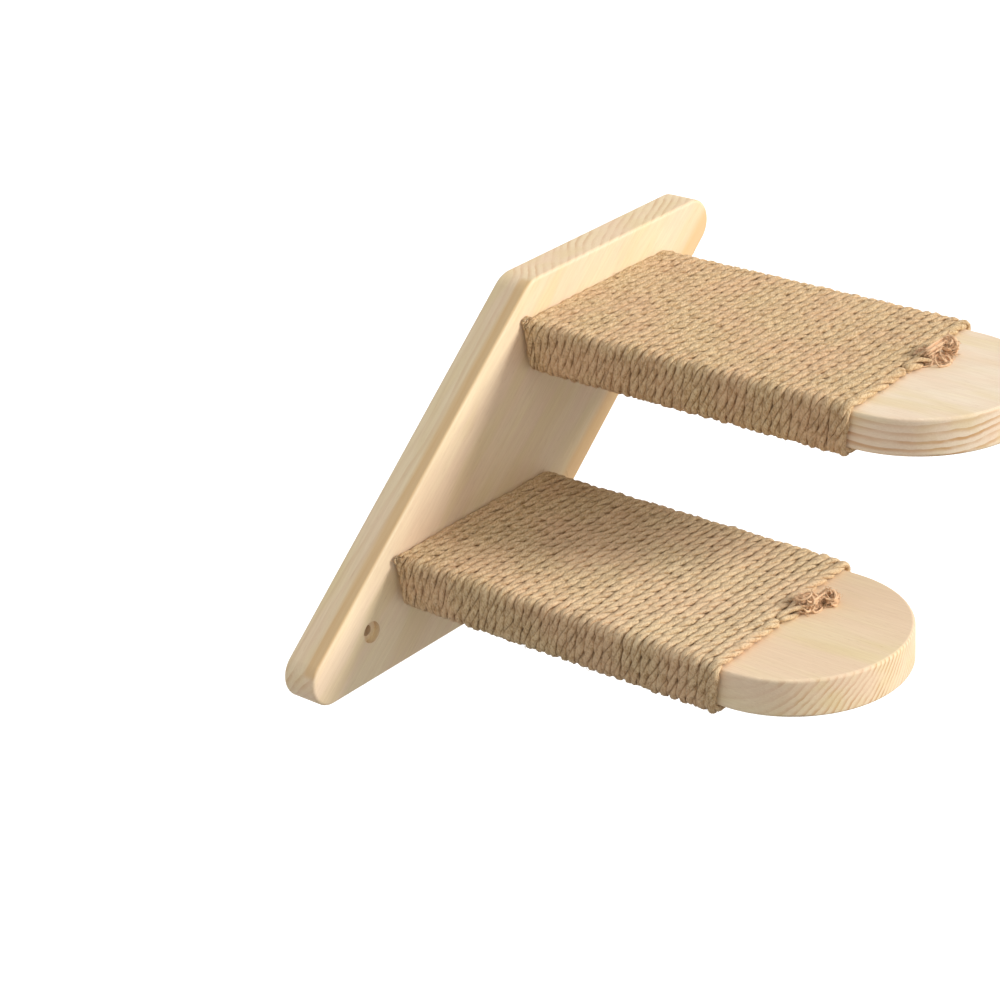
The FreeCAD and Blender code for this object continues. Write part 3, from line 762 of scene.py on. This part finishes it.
def dress_tread(name, seed):
    """The rope of one tread, in the place of the CAD rope: strands, fuzz, frayed end and loose start."""
    random = np.random.default_rng(seed)
    rope = name + "_rope"
    fibre = jute(rope + "_jute", float(seed), FIBRE_LEAN, painted_tip_light=TIP_PAINTED_LIGHT[name])
    loose = jute(rope + "_loose_fibres", seed + 40.0, 0.0, JUTE_LOOSE)
    frayed = jute(rope + "_frayed_fibres", seed + 80.0, 0.0, JUTE_FRAYED, FRAYED_SHARE)
    low, high = (np.array(c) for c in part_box(name + "_tread"))
    origin = np.array([(low[0] + high[0]) / 2, high[1], (low[2] + high[2]) / 2])
    half_width, half_thick = (high[0] - low[0]) / 2 / MM, (high[2] - low[2]) / 2 / MM
    points, outward, pinch, tail = rope_line(half_width, half_thick, *WINDINGS[name], random)

    def keep(piece, material):
        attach(piece, "root")
        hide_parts(rope)
        finish_with(piece, material)

    strands = list(strand_skins(points, outward, pinch, random))
    for k, strand in enumerate(strands):
        at = in_frame(strand[:, ::-1], origin)[None]
        keep(skin(f"{rope}_strand_{k + 1}", at, SECTIONS_PER_TURN), fibre)

    hairs = fuzz(points[: -tail], outward[: -tail], random)
    thin = radii_of(hairs, *FUZZ_THICK, random)
    keep(tubes(f"{rope}_fuzz", in_frame(hairs, origin), thin, 3), loose)

    aim = unit(points[-1] - points[-4])
    tips = [strand[-1].mean(axis=0) for strand in strands]
    yarns = np.concatenate([curled_end(tip, aim, *curl, random) for tip, curl in zip(tips, CURLS)])
    yarns = above(yarns, half_thick + YARN_BED)
    thick = radii_of(yarns, *YARN_THICK, random)
    keep(tubes(f"{rope}_frayed_yarns", in_frame(yarns, origin), thick, 7), frayed)

    hairs = above(beard(yarns, random), half_thick + BEARD_BED)
    thin = radii_of(hairs, *BEARD_THICK, random)
    keep(tubes(f"{rope}_frayed_end", in_frame(hairs, origin), thin, 4), frayed)

    corner = np.array([-half_width, 0.0, half_thick]) + LOOP_PLACE
    loops = np.stack([loose_loop(corner, random) for _ in range(LOOP_COUNT)])
    swell = np.sin(np.linspace(LOOP_TAPER, math.pi - LOOP_TAPER, loops.shape[1]))
    thick = LOOP_RADIUS * swell[None] * random.uniform(*LOOP_SPREAD, (len(loops), 1)) * MM
    keep(tubes(f"{rope}_loose_start", in_frame(loops, origin), thick, 6), fibre)


# ---------------------------------------------------------------- the screws

def screw_rings(length):
    """Rings of one countersunk screw whose head's top is at 0 and whose point is at length.

    Returns the angles of a ring's points, and each ring as their radii and its depth.
    """
    # A quarter of a ring has points at an arm's middle, at its corner, a little further and at the diagonal between
    # two arms, and then their mirror images.
    corner = math.atan(RECESS_HALF / RECESS_REACH)
    eighth = np.array([0, corner, math.radians(31)])
    quarter = np.concatenate([eighth, [math.pi / 4], math.pi / 2 - eighth[:0:-1]])
    turn = np.concatenate([quarter + k * math.pi / 2 for k in range(4)])
    folded = np.abs((turn + math.pi / 4) % (math.pi / 2) - math.pi / 4)
    cross = np.minimum(RECESS_REACH / np.cos(folded), RECESS_HALF / np.maximum(np.sin(folded), 1e-6))
    same = np.ones_like(turn)
    rings = [
        # The cross recess, from its bottom to its mouth.
        (cross * 0.15, RECESS_DEPTH), (cross * 0.7, RECESS_DEPTH * 0.8), (cross, RECESS_LIP[1]),
        # The head's flat top, its rim, its side and its cone.
        (cross + RECESS_LIP[0], 0.0), (same * (HEAD_RADIUS - HEAD_LIP[0]), 0.0), (same * HEAD_RADIUS, HEAD_LIP[1]),
        (same * HEAD_RADIUS, HEAD_RIM), (same * (CORE_RADIUS + 0.1), HEAD_DEPTH),
    ]
    smooth_to = HEAD_DEPTH + SHANK_LENGTH
    shank = np.arange(HEAD_DEPTH + 0.4, smooth_to, SHANK_STEP)
    for depth in np.concatenate([shank, np.arange(smooth_to, length - THREAD_STEP, THREAD_STEP)]):
        taper = np.clip((length - depth) / TIP_LENGTH, TIP_SHARE, 1.0)
        ridge = (depth / THREAD_PITCH - turn / (2 * math.pi)) % 1.0
        ridge = np.clip(1 - np.abs(ridge - 0.5) * THREAD_SHARPNESS, 0, 1) * (depth > smooth_to)
        rings.append((taper * (CORE_RADIUS + (THREAD_RADIUS - CORE_RADIUS) * ridge), depth))
    rings.append((same * 0.05, length))
    return turn, rings


def make_screws(node):
    """The two screws of a node, in the place of the plain ones."""
    low, high = (np.array(c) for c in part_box(node))
    turn, rings = screw_rings((high[1] - low[1]) / MM)
    level = (low[2] + high[2]) / 2
    grids = []
    for x in (low[0] + HEAD_RADIUS * MM, high[0] - HEAD_RADIUS * MM):
        grids.append([np.stack([
            x + r * np.cos(turn) * MM, np.full_like(turn, high[1] - d * MM), level + r * np.sin(turn) * MM,
        ], -1) for r, d in rings])
    points = np.array(grids)
    index = np.arange(points[..., 0].size).reshape(points.shape[:3])
    caps = np.concatenate([index[:, 0, ::-1], index[:, -1]])
    made = mesh_of(f"{node}_threaded", points.reshape(-1, 3), [tube_faces(index), caps])
    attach(made, "root")
    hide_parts(node)
    return made


# ---------------------------------------------------------------- the scene

def finish_with(piece, material):
    """Gives a piece its one material."""
    piece.data.materials.clear()
    piece.data.materials.append(material)


def dress_planks():
    """Gives the three CAD planks their pine."""
    along = (math.cos(BOARD_LEAN), 0.0, math.sin(BOARD_LEAN))
    square = (-math.sin(BOARD_LEAN), 0.0, math.cos(BOARD_LEAN))
    boards = {
        "wall_board": pine(
            "wall_board", along, square, OUT, pith=(-240.0, 255.0), ring_gap=3.05, seed=4.0,
            level=0.08, edge=0.25, cut=0.62, early=PINE_EARLY,
        ),
        "lower_tread": pine(
            "lower_tread", OUT, RIGHT, UP, pith=(-410.0, 285.0), ring_gap=2.35, seed=11.0,
            level=0.10, edge=0.22, cut=1.15, early=PINE_EARLY,
        ),
        "upper_tread": pine(
            "upper_tread", OUT, RIGHT, UP, pith=(40.0, -330.0), ring_gap=3.3, seed=23.0,
            level=0.10, edge=1.35, cut=1.35, early=PINE_EARLY_PALE,
        ),
    }
    board_streaks(*boards["wall_board"])
    for name, made in boards.items():
        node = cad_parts[name]
        node.material_slots[0].link = "OBJECT"
        node.material_slots[0].material = made[0].material


def make_camera():
    """The camera, turned, raised and rolled as it was for the photograph."""
    back = Vector((
        math.sin(CAMERA_TURN) * math.cos(CAMERA_RISE),
        -math.cos(CAMERA_TURN) * math.cos(CAMERA_RISE),
        math.sin(CAMERA_RISE),
    ))
    right = Vector((math.cos(CAMERA_TURN), math.sin(CAMERA_TURN), 0))
    up = back.cross(right)
    rolled = math.cos(CAMERA_ROLL) * right + math.sin(CAMERA_ROLL) * up
    upright = math.cos(CAMERA_ROLL) * up - math.sin(CAMERA_ROLL) * right
    data = bpy.data.cameras.new("camera")
    data.lens, data.sensor_width = CAMERA_LENS, CAMERA_SENSOR
    data.clip_start, data.clip_end = CAMERA_CLIP
    camera = bpy.data.objects.new("camera", data)
    camera.matrix_world = Matrix.Translation(CAMERA_PLACE) @ Matrix((rolled, upright, back)).transposed().to_4x4()
    bpy.context.scene.collection.objects.link(camera)
    bpy.context.scene.camera = camera


def make_key():
    """The key light, wide enough for soft shadows."""
    sun = bpy.data.lights.new("key", "SUN")
    sun.energy, sun.angle, sun.color = KEY_STRENGTH, KEY_SPREAD, KEY_COLOUR
    key = bpy.data.objects.new("key", sun)
    key.rotation_mode = "QUATERNION"
    key.rotation_quaternion = Vector(KEY_DIRECTION).to_track_quat("Z", "Y")
    bpy.context.scene.collection.objects.link(key)


def make_sky():
    """A pale sky all round, a little darker low down."""
    world = bpy.data.worlds.new("sky")
    world.use_nodes = True
    tree = world.node_tree
    level = tree.nodes.new("ShaderNodeSeparateXYZ")
    tree.links.new(tree.nodes.new("ShaderNodeTexCoord").outputs["Generated"], level.inputs[0])
    shade = tree.nodes.new("ShaderNodeMapRange")
    shade.interpolation_type = "SMOOTHSTEP"
    tree.links.new(level.outputs[2], shade.inputs[0])
    for socket, value in zip(list(shade.inputs)[1:5], (*SKY_BAND, SKY_LOW, SKY_TOP)):
        socket.default_value = value
    sky = tree.nodes["Background"]
    sky.inputs["Color"].default_value = (1.0, 1.0, 1.0, 1.0)
    tree.links.new(shade.outputs[0], sky.inputs["Strength"])
    bpy.context.scene.world = world


def make_floor():
    """A pale floor far below, which throws no light back on the stair."""
    r = FLOOR_REACH
    corners = np.array([[-r, -r, 0], [r, -r, 0], [r, r, 0], [-r, r, 0]]) - [0, 0, FLOOR_DROP]
    floor = mesh_of("floor", corners, [np.array([[0, 1, 2, 3]])])
    finish_with(floor, paper("floor_paper"))
    floor.visible_diffuse = False
    floor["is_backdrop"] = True


make_camera()
make_key()
make_sky()
make_floor()
bpy.context.scene.view_settings.view_transform = "Standard"
dress_planks()
for tread_name, rope_seed in ROPE_SEEDS.items():
    dress_tread(tread_name, rope_seed)
steel = zinc("zinc_plate")
for screw_node in ("lower_tread_screws", "upper_tread_screws"):
    finish_with(make_screws(screw_node), steel)

{name: [list(corner) for corner in box] for name, box in (("cad", cad_box), ("visual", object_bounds()))}
